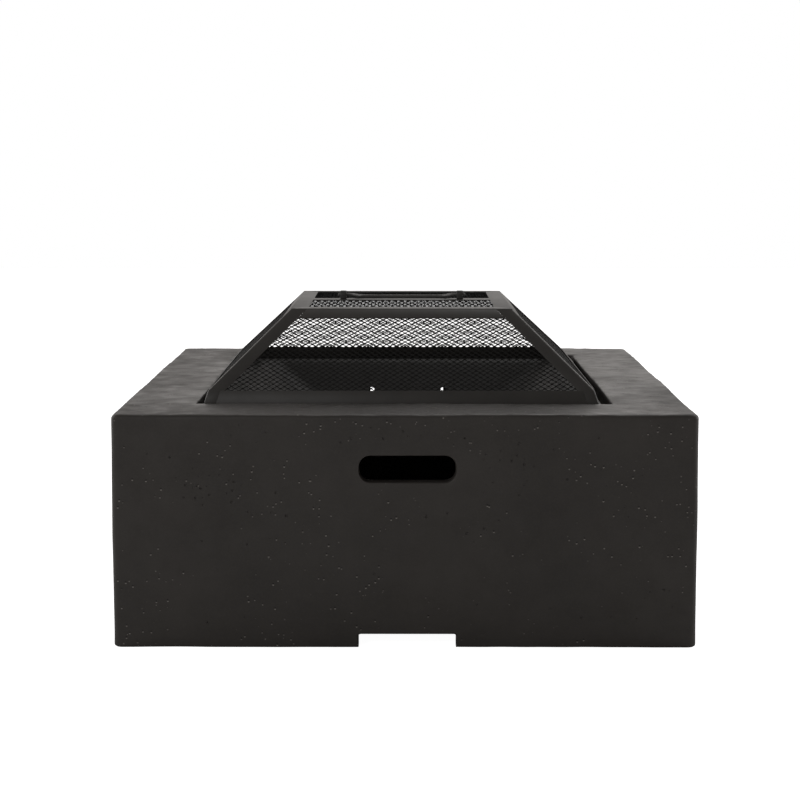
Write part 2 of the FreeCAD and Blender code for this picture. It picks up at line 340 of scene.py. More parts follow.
def rounded_path(points, radii, steps=8):
    """Points along straight runs whose corners are rounded by arcs."""
    made = [points[0]]
    for i in range(1, len(points) - 1):
        before = (points[i - 1] - points[i]).normalized()
        after = (points[i + 1] - points[i]).normalized()
        half_angle = before.angle(after) / 2
        reach = radii[i] / math.tan(half_angle)
        centre = points[i] + (before + after).normalized() * (radii[i] / math.sin(half_angle))
        start = points[i] + before * reach - centre
        end = points[i] + after * reach - centre
        sweep = start.angle(end)
        axis = start.cross(end).normalized()
        for k in range(steps + 1):
            made.append(centre + Matrix.Rotation(sweep * k / steps, 3, axis) @ start)
    made.append(points[-1])
    return made


def tube(name, path, radius, sides=16, closed=False, end_round=0.0):
    """A round rod along a path, whose open ends are softened by end_round."""
    verts = []
    faces = []
    rings = []
    count = len(path)
    tangents = []
    for i in range(count):
        if closed:
            tangents.append((path[(i + 1) % count] - path[i - 1]).normalized())
        else:
            tangents.append((path[min(i + 1, count - 1)] - path[max(i - 1, 0)]).normalized())
    side = tangents[0].orthogonal().normalized()
    sides_of = []
    for tangent in tangents:
        side = (side - tangent * side.dot(tangent)).normalized()
        sides_of.append(side.copy())

    def add_ring(centre, tangent, across, r):
        other = tangent.cross(across)
        for k in range(sides):
            angle = 2 * math.pi * k / sides
            verts.append(centre + across * (r * math.cos(angle)) + other * (r * math.sin(angle)))
        rings.append(len(verts) - sides)

    if end_round and not closed:
        add_ring(path[0], tangents[0], sides_of[0], radius - end_round)
        add_ring(path[0] + tangents[0] * end_round, tangents[0], sides_of[0], radius)
        inner = range(1, count - 1)
    else:
        inner = range(count)
    for i in inner:
        add_ring(path[i], tangents[i], sides_of[i], radius)
    if end_round and not closed:
        add_ring(path[-1] - tangents[-1] * end_round, tangents[-1], sides_of[-1], radius)
        add_ring(path[-1], tangents[-1], sides_of[-1], radius - end_round)
    joins = len(rings) if closed else len(rings) - 1
    for r in range(joins):
        low = rings[r]
        high = rings[(r + 1) % len(rings)]
        for k in range(sides):
            m = (k + 1) % sides
            faces.append((low + k, low + m, high + m, high + k))
    if not closed:
        faces.append(tuple(range(rings[0], rings[0] + sides))[::-1])
        faces.append(tuple(range(rings[-1], rings[-1] + sides)))
    piece = new_object(name, verts, faces)
    smooth(piece, 40)
    return piece


def quarter_turn(points, quarter):
    turn = Matrix.Rotation(math.radians(90 * quarter), 3, "Z")
    return [turn @ p for p in points]


# ---- Cast shell ----


def shell_stations():
    """The shell's section, from the foot's inner edge round the outside and back through the hollow."""
    base = BODY_BASE_HALF
    top = BODY_TOP_HALF
    r = TOP_EDGE_R
    stations = [(base - WALL, 0, INNER_R)]
    stations += arc_stations((base - BASE_EDGE_R, BASE_EDGE_R), BASE_EDGE_R, -90, 0, 3, CORNER_R)
    stations += line_stations((base, BASE_EDGE_R), (top, BODY_H - r), 30, CORNER_R, CORNER_R)
    stations += arc_stations((top - r, BODY_H - r), r, 0, 90, 5, CORNER_R)
    lip = 2.5 * MM
    inner = RECESS_HALF + lip
    stations += line_stations((top - r, BODY_H), (inner, BODY_H), 9, CORNER_R, RECESS_R)
    stations += arc_stations((inner, BODY_H - lip), lip, 90, 180, 3, RECESS_R)
    stations += line_stations((RECESS_HALF, BODY_H - lip), (RECESS_HALF, RECESS_Z), 3, RECESS_R, RECESS_R)
    stations.append((RECESS_HALF, RECESS_Z, RECESS_R))
    stations += line_stations((RECESS_HALF, RECESS_Z), (LEDGE_HALF, RECESS_Z), 3, RECESS_R, RECESS_R)
    soft = 1.5 * MM
    stations += arc_stations((LEDGE_HALF + soft, RECESS_Z - soft), soft, 90, 180, 2, RECESS_R)
    under = RECESS_Z - SLAB
    roof = BODY_H - SLAB
    stations.append((LEDGE_HALF, under, RECESS_R))
    stations.append((RECESS_HALF + WALL, under, INNER_R))
    stations.append((RECESS_HALF + WALL, roof, INNER_R))
    stations.append((top - WALL, roof, INNER_R))
    stations += line_stations((top - WALL, roof), (base - WALL, 0), 12, INNER_R, INNER_R)
    return stations


def wobble(point):
    """How far a hand-finished casting strays from the true shape at a point."""
    broad = noise.noise_vector(point * 7.0) * 1.0 * MM
    ripples = noise.noise_vector(point * 26.0 + Vector((9, 4, 2))) * 0.35 * MM
    near_top = max(0.0, 1 - abs(point.z - BODY_H) / (7 * MM))
    fine = noise.noise_vector(point * 90.0) * 0.55 * MM * near_top
    return broad + ripples + fine


def flared_outline(half_w, low_z, high_z, corner_r, grow, y, steps=6):
    """A rounded rectangle in an upright plane, grown by grow on all sides."""
    corners = [
        (half_w - corner_r, low_z + corner_r, -90),
        (half_w - corner_r, high_z - corner_r, 0),
        (-half_w + corner_r, high_z - corner_r, 90),
        (-half_w + corner_r, low_z + corner_r, 180),
    ]
    radius = corner_r + grow
    points = []
    for x, z, start in corners:
        for i in range(steps + 1):
            angle = math.radians(start + 90 * i / steps)
            points.append(Vector((x + radius * math.cos(angle), y, z + radius * math.sin(angle))))
    return points


def flared_cutter(name, half_w, low_z, high_z, corner_r, flare_r, quarter):
    """A cutter for an opening in a wall, which widens in a quarter round at the outer face."""
    face_y = -BODY_BASE_HALF + 1.0 * MM
    outlines = [flared_outline(half_w, low_z, high_z, corner_r, 0, face_y + 40 * MM)]
    for i in range(6):
        angle = math.radians(90 * i / 5)
        depth = flare_r * (1 - math.sin(angle))
        grow = flare_r * (1 - math.cos(angle))
        outlines.append(flared_outline(half_w, low_z, high_z, corner_r, grow, face_y + depth))
    outlines.append(flared_outline(half_w, low_z, high_z, corner_r, flare_r, face_y - 8 * MM))
    aside = Vector((OPENING_SHIFT if quarter < 2 else -OPENING_SHIFT, 0, 0))
    shifted = [[point + aside for point in outline] for outline in outlines]
    return loft(name, [quarter_turn(outline, quarter) for outline in shifted])


def pit_places():
    """Where the small air holes are on one side, in loose clusters away from the slot and notch."""
    clusters = []
    for _ in range(PIT_CLUSTERS):
        x = random.uniform(-CLUSTER_REACH_X, CLUSTER_REACH_X)
        z = random.uniform(CLUSTER_LOW_Z, CLUSTER_HIGH_Z)
        clusters.append((x, z))
    places = []
    for _ in range(PITS_PER_SIDE):
        if random.random() < CLUSTERED_SHARE:
            centre_x, centre_z = random.choice(clusters)
            x = random.gauss(centre_x, CLUSTER_SPREAD_X)
            z = random.gauss(centre_z, CLUSTER_SPREAD_Z)
        else:
            x = random.uniform(-STRAY_REACH_X, STRAY_REACH_X)
            z = random.uniform(STRAY_LOW_Z, STRAY_HIGH_Z)
        on_face = abs(x) < PIT_LIMIT_X and PIT_LIMIT_LOW_Z < z < PIT_LIMIT_HIGH_Z
        level_with_opening = abs(z - SLOT_Z) < PIT_CLEAR_Z or z < PIT_CLEAR_Z
        by_opening = abs(x) < PIT_CLEAR_X and level_with_opening
        apart = all(math.hypot(x - other[0], z - other[1]) > PIT_SPACING for other in places)
        if on_face and apart and not by_opening:
            places.append((x, z))
    return places


def pit_cutters():
    """A ball where each air hole is."""
    work = bmesh.new()
    for quarter in range(4):
        turn = Matrix.Rotation(math.radians(90 * quarter), 4, "Z")
        for x, z in pit_places():
            wall_y = -BODY_BASE_HALF + (BODY_BASE_HALF - BODY_TOP_HALF) * z / BODY_H
            wall_y += wobble(turn @ Vector((x, wall_y, z))).dot(turn @ Vector((0, 1, 0)))
            place = Matrix.Translation((x, wall_y, z))
            stretch = Matrix.Diagonal((random.uniform(0.8, 1.5), 0.8, random.uniform(0.7, 1.2), 1))
            spin = Matrix.Rotation(random.uniform(0, math.pi), 4, "Y")
            radius = random.uniform(PIT_SMALL_R, PIT_LARGE_R)
            bmesh.ops.create_icosphere(
                work, subdivisions=1, radius=radius, matrix=turn @ place @ spin @ stretch
            )
    mesh = bpy.data.meshes.new("pits")
    work.to_mesh(mesh)
    work.free()
    cutter = bpy.data.objects.new("pits", mesh)
    bpy.context.collection.objects.link(cutter)
    return cutter


def make_shell():
    shell = ring_solid("shell", shell_stations(), 108, 7)
    for vertex in shell.data.vertices:
        vertex.co += wobble(vertex.co.copy())
        vertex.co.z = max(vertex.co.z, 0.0)
    fix_normals(shell)
    below = -40 * MM
    notch = (NOTCH_HALF_W, below, NOTCH_H, NOTCH_CORNER_R, NOTCH_FLARE_R)
    slot = (SLOT_HALF_W, SLOT_Z - SLOT_HALF_H, SLOT_Z + SLOT_HALF_H, SLOT_R, SLOT_FLARE_R)
    cutters = [pit_cutters()]
    for quarter in range(4):
        cutters.append(flared_cutter("notch", *notch, quarter))
    for quarter in (0, 2):
        cutters.append(flared_cutter("slot", *slot, quarter))
    cut(shell, join("openings", cutters))
    smooth(shell, 38)
    assign(shell, "body", "body_shell")
    return shell


# ---- Bowl ----


def bowl_stations():
    """The bowl's section: up the skirt's outside, over the flange, down to the drain and back."""
    fold = 3 * MM
    bend = 6 * MM
    bend_r = bend / math.tan(BOWL_SLOPE / 2)
    slope = math.degrees(BOWL_SLOPE)
    corner = FLANGE_R
    brow = (FLANGE_HALF - fold, FLANGE_Z - fold)
    mouth = (MOUTH_HALF + bend, FLANGE_Z - bend_r)
    foot = (FLOOR_HALF - bend, FLOOR_Z + bend_r)
    under_z = FLOOR_Z - BOWL_SHEET

    top = [(FLANGE_HALF, RECESS_Z, corner)]
    top += arc_stations(brow, fold, 0, 90, 4, corner)
    top += line_stations((brow[0], FLANGE_Z), (mouth[0], FLANGE_Z), 3, corner, BOWL_R)
    top += arc_stations(mouth, bend_r, 90, 90 + slope, 5, BOWL_R)
    foot_top = arc_stations(foot, bend_r, slope - 90, -90, 5, BOWL_R)
    top += line_stations(top[-1][:2], foot_top[0][:2], 8, BOWL_R, BOWL_R)
    top += foot_top
    top += line_stations(foot_top[-1][:2], (DRAIN_R, FLOOR_Z), 5, BOWL_R, DRAIN_R)
    top.append((DRAIN_R, FLOOR_Z, DRAIN_R))

    foot_low = arc_stations(foot, bend_r + BOWL_SHEET, -90, slope - 90, 5, BOWL_R)
    mouth_low = arc_stations(mouth, bend_r - BOWL_SHEET, 90 + slope, 90, 5, BOWL_R)
    low = [(DRAIN_R, under_z, DRAIN_R)]
    low += line_stations((DRAIN_R, under_z), foot_low[0][:2], 5, DRAIN_R, BOWL_R)
    low += foot_low
    low += line_stations(foot_low[-1][:2], mouth_low[0][:2], 8, BOWL_R, BOWL_R)
    low += mouth_low
    low += arc_stations(brow, fold - BOWL_SHEET, 90, 0, 4, corner - BOWL_SHEET)
    low.append((FLANGE_HALF - BOWL_SHEET, RECESS_Z, corner - BOWL_SHEET))
    return top + low


def vent_cutter(x, quarter):
    """A cutter for a slot in a bowl wall, longer along the slope than across it."""
    run = (VENT_Z - FLOOR_Z) / math.tan(BOWL_SLOPE)
    along = Vector((0, -math.cos(BOWL_SLOPE), math.sin(BOWL_SLOPE)))
    out = Vector((0, math.sin(BOWL_SLOPE), math.cos(BOWL_SLOPE)))
    centre = Vector((x, -FLOOR_HALF - run, VENT_Z))
    steps = 24
    loops = []
    for depth in (-6 * MM, 6 * MM):
        loop = []
        for i in range(steps):
            angle = 2 * math.pi * (i + 0.5) / steps
            rise = VENT_R * math.sin(angle) + math.copysign(VENT_END, math.sin(angle))
            across = Vector((VENT_R * math.cos(angle), 0, 0))
            loop.append(centre + across + along * rise + out * depth)
        loops.append(quarter_turn(loop, quarter))
    return loft("vent", loops)


def lay_in_recess(piece):
    """Turns and shifts a piece of the bowl or grate to where the loose bowl lies."""
    turn = Matrix.Rotation(BOWL_TURN, 4, "Z")
    piece.data.transform(Matrix.Translation((BOWL_X, 0, 0)) @ turn)


def make_bowl():
    bowl = ring_solid("bowl_pan", bowl_stations(), 20, 10)
    fix_normals(bowl)
    vents = [vent_cutter(x, quarter) for quarter in range(4) for x in (-VENT_OFFSET, VENT_OFFSET)]
    cut(bowl, join("vents", vents))
    smooth(bowl, 35)
    lay_in_recess(bowl)
    assign(bowl, "bowl", "fire_bowl")
    return bowl


# ---- Log grate ----


def make_grate():
    corners = square_ring(GRATE_HALF, GRATE_BEND_R, 12, 8)
    path = [Vector((p.x, p.y, GRATE_Z)) for p in corners]
    made = [tube("grate_ring", path, GRATE_ROD_R, closed=True)]
    assign(made[0], "log_grate", "grate_frame")
    for index in range(GRATE_BARS):
        x = (index - (GRATE_BARS - 1) / 2) * GRATE_PITCH
        ends = [Vector((x, -GRATE_HALF, GRATE_Z)), Vector((x, GRATE_HALF, GRATE_Z))]
        bar = tube(f"grate_rod_{index + 1}", ends, GRATE_ROD_R)
        assign(bar, "log_grate", f"grate_bar_{index + 1}")
        made.append(bar)
    for piece in made:
        lay_in_recess(piece)
    return made


# ---- Lid ----
# Each side is built at the front, about the lid's own middle, and turned into place.


class LidPlane:
    """An outer face of the lid's front side, from its half widths and heights at foot and head.

    On it, u runs to the right, v runs up the face from its foot and w is the height above it."""

    def __init__(self, foot_half, foot_z, head_half, head_z):
        self.foot_half = foot_half
        self.foot_z = foot_z
        self.length = math.hypot(foot_half - head_half, head_z - foot_z)
        self.cos = (foot_half - head_half) / self.length
        self.sin = (head_z - foot_z) / self.length

    def at(self, u, v, w):
        y = -self.foot_half + v * self.cos - w * self.sin
        z = self.foot_z + v * self.sin + w * self.cos
        return Vector((u, y, z))

    def edge_u(self, v):
        """Half the width of the face at v, out to the lid's edge."""
        return self.foot_half - v * self.cos

    def level_width(self, width):
        """How far a strip of this width along the lid's edge reaches, measured level."""
        return width * math.hypot(self.cos, 1)


SKIRT = LidPlane(LID_BASE_HALF, FLANGE_Z, LID_BEND_HALF, LID_BEND_Z)
SLOPE = LidPlane(LID_BEND_HALF, LID_BEND_Z, LID_TOP_HALF, LID_TOP_Z)
CORNER_LEVEL_W = SLOPE.level_width(CORNER_W)


def folded_section(start, corner, end, fold_r, sheet, inward):
    """The outline of a folded sheet in a plane. inward is a point on the sheet's inner side."""
    outer = rounded_path([start, corner, end], [0, fold_r, 0], 5)
    plane = (corner - start).cross(end - corner).normalized()
    inner = []
    for i, point in enumerate(outer):
        ahead = outer[min(i + 1, len(outer) - 1)]
        behind = outer[max(i - 1, 0)]
        across = (ahead - behind).normalized().cross(plane)
        if across.dot(inward - corner) < 0:
            across = -across
        inner.append(point + across * sheet)
    return outer + inner[::-1]


def finish_lid_piece(piece, node, quarter=0):
    """Turns a piece to its side, moves it to where the loose lid stands, and assigns it."""
    turn = Matrix.Rotation(math.radians(90 * quarter), 4, "Z")
    piece.data.transform(Matrix.Translation((LID_X, 0, 0)) @ turn)
    assign(piece, "lid", node)
    return piece


def soften(piece, width=0.2 * MM):
    bevel(piece, width)
    smooth(piece, 30)


def make_rail(side, quarter):
    """A strip along the foot of one side, which laps over the corner strips."""
    foot_v = -LID_SHEET * SKIRT.cos / SKIRT.sin
    outlines = []
    for w, low_v in ((0, 0), (LID_SHEET, foot_v)):
        outline = []
        for end, v in ((-1, low_v), (1, low_v), (1, SKIRT.length), (-1, SKIRT.length)):
            outline.append(SKIRT.at(end * (SKIRT.edge_u(v) - RAIL_INSET), v, w))
        outlines.append(outline)
    rail = loft(f"rail_{side}", outlines)
    soften(rail)
    return finish_lid_piece(rail, f"lid_rail_{side}", quarter)


def make_corner(side, next_side, quarter):
    """The folded strip over the edge at the right of this side, bent at the skirt."""
    fold_z = SLOPE.at(0, SLOPE.length - TOP_FOLD_W, 0).z
    fold_half = SLOPE.edge_u(SLOPE.length - TOP_FOLD_W)
    sections = []
    for half, z, plane in (
        (LID_BASE_HALF, FLANGE_Z, SKIRT),
        (LID_BEND_HALF, LID_BEND_Z, SLOPE),
        (fold_half, fold_z, SLOPE),
    ):
        start = Vector((half - CORNER_LEVEL_W, -half, z))
        corner = Vector((half, -half, z))
        end = Vector((half, -half + CORNER_LEVEL_W, z))
        sheet = LID_SHEET / plane.sin
        sections.append(folded_section(start, corner, end, CORNER_FOLD_R, sheet, Vector((0, 0, z))))
    strip = loft(f"corner_{side}_{next_side}", sections)
    soften(strip)
    return finish_lid_piece(strip, f"lid_corner_{side}_{next_side}", quarter)


def top_flat(side):
    """The flat strip of one side of the top frame, mitred, with the start of its folded lip."""
    inner_edge = Vector((0, -LID_TOP_HALF + TOP_STRIP_W, LID_TOP_Z))
    fold = Vector((0, -LID_TOP_HALF, LID_TOP_Z))
    lip_start = SLOPE.at(0, SLOPE.length - TOP_FOLD_W, 0)
    inside = Vector((0, 0, LID_BEND_Z))
    section = folded_section(inner_edge, fold, lip_start, TOP_FOLD_R, LID_SHEET, inside)
    left = [Vector((p.y, p.y, p.z)) for p in section]
    right = [Vector((-p.y, p.y, p.z)) for p in section]
    return loft(f"top_flat_{side}", [left, right])


def top_lip(side):
    """The lip of one side of the top frame, which lies flush between the corner strips."""
    low = SLOPE.length - LIP_W
    high = SLOPE.length - TOP_FOLD_W
    outlines = []
    for end in (-1, 1):
        outline = []
        for v, w in ((low, 0), (high, 0), (high, -LID_SHEET), (low, -LID_SHEET)):
            outline.append(SLOPE.at(end * (SLOPE.edge_u(v) - CORNER_LEVEL_W), v, w))
        outlines.append(outline)
    return loft(f"top_lip_{side}", outlines)


def make_top_strip(side, quarter):
    strip = join(f"top_strip_{side}", [top_flat(side), top_lip(side)])
    soften(strip, 0.15 * MM)
    return finish_lid_piece(strip, f"lid_top_strip_{side}", quarter)


def make_centre_strip():
    half = LID_TOP_HALF - TOP_STRIP_W
    outlines = []
    for z in (LID_TOP_Z - LID_SHEET, LID_TOP_Z):
        ends = ((-half, -1), (half, -1), (half, 1), (-half, 1))
        outlines.append([Vector((x, side * CENTRE_HALF_W, z)) for x, side in ends])
    strip = loft("centre_strip", outlines)
    soften(strip)
    return finish_lid_piece(strip, "lid_centre_strip")


def expanded_metal(name, place, v_low, v_high, half_width, tilt=STRAND_TILT, gauge=STRAND_T):
    """Expanded metal: slit strips pulled into zigzags that meet at short bonds.

    place turns (u, v, w) into a point, and half_width gives how far the sheet reaches at v."""
    across = STRAND_W * math.cos(tilt)
    lift = STRAND_W * math.sin(tilt) / 2
    swing = DIAMOND_H / 4 - across / 2
    wide = Vector((0, math.cos(tilt), math.sin(tilt))) * (STRAND_W / 2)
    thick = Vector((0, -math.sin(tilt), math.cos(tilt))) * (gauge / 2)
    corners = (wide + thick, wide - thick, -wide - thick, -wide + thick)
    verts = []
    faces = []
    for row in range(int((v_high - v_low) / (DIAMOND_H / 2))):
        v_middle = v_low + (row + 0.5) * DIAMOND_H / 2
        reach = int(half_width(v_middle) / (DIAMOND_L / 2))
        first = len(verts)
        for k in range(-reach, reach + 1):
            up = 1 if (k + row) % 2 == 0 else -1
            for side in (-1, 1):
                u = k * DIAMOND_L / 2 + side * BOND_L / 2
                centre = Vector((u, v_middle + up * swing, -up * lift))
                verts += [place(*(centre + corner)) for corner in corners]
        last = len(verts) - 4
        for start in range(first, last, 4):
            for i in range(4):
                j = (i + 1) % 4
                faces.append((start + i, start + j, start + 4 + j, start + 4 + i))
        faces.append((first + 3, first + 2, first + 1, first))
        faces.append((last, last + 1, last + 2, last + 3))
    piece = new_object(name, verts, faces)
    fix_normals(piece)
    return piece


def make_side_mesh(side, quarter):
    middle_w = -LID_SHEET - MESH_DEPTH
    sheet = expanded_metal(
        f"mesh_{side}",
        lambda u, v, w: SLOPE.at(u, v, w + middle_w),
        MESH_FOOT,
        SLOPE.length - MESH_HEAD,
        lambda v: SLOPE.edge_u(v) - MESH_EDGE_INSET,
    )
    return finish_lid_piece(sheet, f"lid_mesh_{side}", quarter)


def make_top_mesh():
    middle_z = LID_TOP_Z - LID_SHEET - MESH_DEPTH
    half = TOP_MESH_HALF
    sheet = expanded_metal(
        "mesh_top",
        lambda u, v, w: Vector((u, v, middle_z + w)),
        -half,
        half,
        lambda v: half,
        TOP_STRAND_TILT,
        TOP_STRAND_T,
    )
    return finish_lid_piece(sheet, "lid_mesh_top")


# ---- Handle ----


def make_lug(name, node, x):
    """An ear with a rounded head and a hole for the bail."""
    depth = PIVOT_Z - LID_TOP_Z
    steps = 32
    outer = []
    inner = []
    for i in range(steps):
        angle = 2 * math.pi * (i + 0.5) / steps
        c = math.cos(angle)
        s = math.sin(angle)
        scale = LUG_HALF_W if s >= 0 else min(LUG_HALF_W / abs(c), depth / -s)
        outer.append((scale * c, scale * s))
        inner.append((LUG_HOLE_R * c, LUG_HOLE_R * s))
    verts = []
    for side in (-1, 1):
        for loop in (outer, inner):
            verts += [Vector((x + side * LUG_HALF_T, y, PIVOT_Z + z)) for y, z in loop]
    faces = []
    for i in range(steps):
        j = (i + 1) % steps
        faces.append((i, j, steps + j, steps + i))
        faces.append((2 * steps + i, 3 * steps + i, 3 * steps + j, 2 * steps + j))
        faces.append((i, 2 * steps + i, 2 * steps + j, j))
        faces.append((steps + i, steps + j, 3 * steps + j, 3 * steps + i))
    lug = new_object(name, verts, faces)
    fix_normals(lug)
    soften(lug, 0.6 * MM)
    return finish_lid_piece(lug, node)


def make_bail():
    """A bent rod through both lugs, folded back to just above the top mesh."""
    bar_z = LID_TOP_Z - LID_SHEET + ROD_R + BAIL_REST_GAP
    droop = math.asin((PIVOT_Z - bar_z) / BAIL_REACH)
    half = [
        (BAIL_BAR_X / 2, BAIL_REACH),
        (BAIL_BAR_X, BAIL_REACH - BAIL_BOW),
        (BAIL_SHOULDER_X, 0),
        (BAIL_END_X, 0),
    ]
    outline = [(-x, r) for x, r in reversed(half)] + half
    points = []
    for x, r in outline:
        points.append(Vector((x, r * math.cos(droop), PIVOT_Z - r * math.sin(droop))))
    half_radii = [BAIL_BOW_R, BAIL_ELBOW_R, BAIL_SHOULDER_R, 0]
    path = rounded_path(points, half_radii[::-1] + half_radii)
    bail = tube("bail", path, ROD_R, 20, end_round=BAIL_END_ROUND)
    bail.data.transform(Matrix.Translation((LID_X, 0, 0)))
    assign(bail, "handle", "bail_handle")
    return bail


# ---- Materials ----


class Nodes:
    """A material's node tree, with short calls for the nodes that these materials use."""

    def __init__(self, name):
        self.material = bpy.data.materials.new(name)
        self.material.use_nodes = True
        self.tree = self.material.node_tree
        self.shader = self.tree.nodes["Principled BSDF"]
        self.place = self.node("ShaderNodeTexCoord").outputs["Object"]

    def node(self, kind, **values):
        made = self.tree.nodes.new(kind)
        for key, value in values.items():
            setattr(made, key, value)
        return made

    def link(self, source, target):
        self.tree.links.new(source, target)

    def noise(self, scale, detail=4.0, rough=0.55, stretch=(1, 1, 1)):
        mapping = self.node("ShaderNodeMapping")
        mapping.inputs["Scale"].default_value = stretch
        self.link(self.place, mapping.inputs["Vector"])
        made = self.node("ShaderNodeTexNoise")
        made.inputs["Scale"].default_value = scale
        made.inputs["Detail"].default_value = detail
        made.inputs["Roughness"].default_value = rough
        self.link(mapping.outputs["Vector"], made.inputs["Vector"])
        return made.outputs["Fac"]

    def cells(self, scale, raised=0.0):
        """Distance to the nearest of many scattered points, which can be raised a little."""
        mapping = self.node("ShaderNodeMapping")
        mapping.inputs["Location"].default_value = (0, 0, -raised)
        self.link(self.place, mapping.inputs["Vector"])
        made = self.node("ShaderNodeTexVoronoi")
        made.inputs["Scale"].default_value = scale
        self.link(mapping.outputs["Vector"], made.inputs["Vector"])
        return made.outputs["Distance"]

    def ramp(self, source, stops):
        made = self.node("ShaderNodeValToRGB")
        elements = made.color_ramp.elements
        while len(elements) < len(stops):
            elements.new(0.5)
        for element, (position, colour) in zip(elements, stops):
            element.position = position
            element.color = (*colour, 1)
        self.link(source, made.inputs["Fac"])
        return made.outputs["Color"]

    def span(self, source, low, high, from_low=0.0, from_high=1.0):
        made = self.node("ShaderNodeMapRange")
        made.inputs["From Min"].default_value = from_low
        made.inputs["From Max"].default_value = from_high
        made.inputs["To Min"].default_value = low
        made.inputs["To Max"].default_value = high
        self.link(source, made.inputs["Value"])
        return made.outputs["Result"]

    def math(self, operation, first, second):
        made = self.node("ShaderNodeMath", operation=operation)
        for socket, value in zip(made.inputs, (first, second)):
            if isinstance(value, (int, float)):
                socket.default_value = value
            else:
                self.link(value, socket)
        return made.outputs["Value"]

    def mix(self, factor, first, second):
        made = self.node("ShaderNodeMix", data_type="RGBA")
        sockets = [s for s in made.inputs if s.enabled]
        for socket, value in zip(sockets, (factor, first, second)):
            if isinstance(value, (int, float)):
                socket.default_value = value
            elif isinstance(value, tuple):
                socket.default_value = (*value, 1)
            else:
                self.link(value, socket)
        return [s for s in made.outputs if s.enabled][0]

    def bump(self, height, strength, distance, below=None):
        made = self.node("ShaderNodeBump")
        made.inputs["Strength"].default_value = strength
        made.inputs["Distance"].default_value = distance
        self.link(height, made.inputs["Height"])
        if below is not None:
            self.link(below, made.inputs["Normal"])
        return made.outputs["Normal"]


def cast_material():
    """Dark hand-finished fibre clay: mottled, with a patchy sheen, and pinholes painted dark inside as
    painted shade, with a pale painted highlight on the rim just below each.
    """
    n = Nodes("cast_clay")
    cloud = n.noise(9, 5, 0.6)
    grain = n.noise(420, 3, 0.6)
    colour = n.ramp(cloud, [(0.3, (0.0345, 0.0305, 0.0275)), (0.7, (0.052, 0.046, 0.0415))])
    colour = n.mix(n.span(grain, 0.0, 0.35, 0.45, 0.8), colour, (0.062, 0.056, 0.050))
    patches = n.span(n.noise(13, 3, 0.5), 0, 1, 0.46, 0.54)
    sparse = n.span(n.noise(60, 2, 0.5), 0, 1, 0.5, 0.56)
    where = n.math("MULTIPLY", sparse, patches)
    # Pinholes: the dark core is painted shade inside each pit, and the pale ring (lip), shifted down a
    # little, is a painted highlight on the pit's lit lower rim
    pit_with_painted_shade = n.math("MULTIPLY", n.span(n.cells(150), 1, 0, 0.1, 0.19), where)
    lip = n.math("MULTIPLY", n.span(n.cells(150, -1.2 * MM), 1, 0, 0.1, 0.19), where)
    colour = n.mix(lip, colour, (0.27, 0.252, 0.23))
    colour = n.mix(pit_with_painted_shade, colour, (0.008, 0.007, 0.006))
    n.link(colour, n.shader.inputs["Base Color"])
    sheen = n.math("MULTIPLY", n.noise(5, 3, 0.6), n.noise(30, 4, 0.6))
    n.link(n.span(sheen, 0.36, 0.62, 0.14, 0.38), n.shader.inputs["Roughness"])
    skin = n.bump(n.noise(900, 2, 0.6), 0.25, 0.0002)
    trowel = n.bump(n.noise(24, 4, 0.5, (1, 1, 2.2)), 0.2, 0.003, skin)
    pinned = n.bump(n.span(pit_with_painted_shade, 1, 0), 0.6, 0.0008, trowel)
    n.link(pinned, n.shader.inputs["Normal"])
    n.shader.inputs["Specular IOR Level"].default_value = 0.5
    return n.material


def paint_material(name, dark, light, rough, gloss=0.5, dust=0.0):
    """Baked dark paint on steel, with a fine orange peel, dull patches and pale specks."""
    n = Nodes(name)
    cloud = n.noise(22, 4, 0.6)
    colour = n.ramp(cloud, [(0.3, dark), (0.75, light)])
    speck = n.span(n.noise(650, 2, 0.7), 0, 1, 0.62, 0.74)
    colour = n.mix(n.math("MULTIPLY", speck, 0.25 + dust), colour, (0.07, 0.067, 0.062))
    n.link(colour, n.shader.inputs["Base Color"])
    n.link(n.span(n.noise(70, 4, 0.6), *rough), n.shader.inputs["Roughness"])
    peel = n.bump(n.noise(500, 2, 0.5), 0.18, 0.00025)
    wave = n.bump(n.noise(18, 2, 0.5), 0.2, 0.0015, peel)
    n.link(wave, n.shader.inputs["Normal"])
    n.shader.inputs["Specular IOR Level"].default_value = gloss
    return n.material


def give(pieces, material):
    for piece in pieces:
        piece.data.materials.clear()
        piece.data.materials.append(material)


# ---- Stage, light and camera ----


def make_stage():
    """A plain floor that looks white to the camera, without throwing that light at the object."""
    corners = ((-1, -1), (1, -1), (1, 1), (-1, 1))
    verts = [Vector((x * FLOOR_REACH, y * FLOOR_REACH, 0)) for x, y in corners]
    floor = new_object("floor", verts, [(0, 1, 2, 3)])
    n = Nodes("pale_floor")
    colour = n.ramp(n.noise(3, 3), [(0.3, (0.78, 0.78, 0.78)), (0.7, (0.82, 0.82, 0.82))])
    n.link(colour, n.shader.inputs["Base Color"])
    n.shader.inputs["Roughness"].default_value = 0.9
    n.shader.inputs["Specular IOR Level"].default_value = 0.1
    n.shader.inputs["Emission Color"].default_value = WHITE
    path = n.node("ShaderNodeLightPath")
    seen = n.math("MULTIPLY", path.outputs["Is Camera Ray"], 0.97)
    n.link(seen, n.shader.inputs["Emission Strength"])
    floor.data.materials.append(n.material)


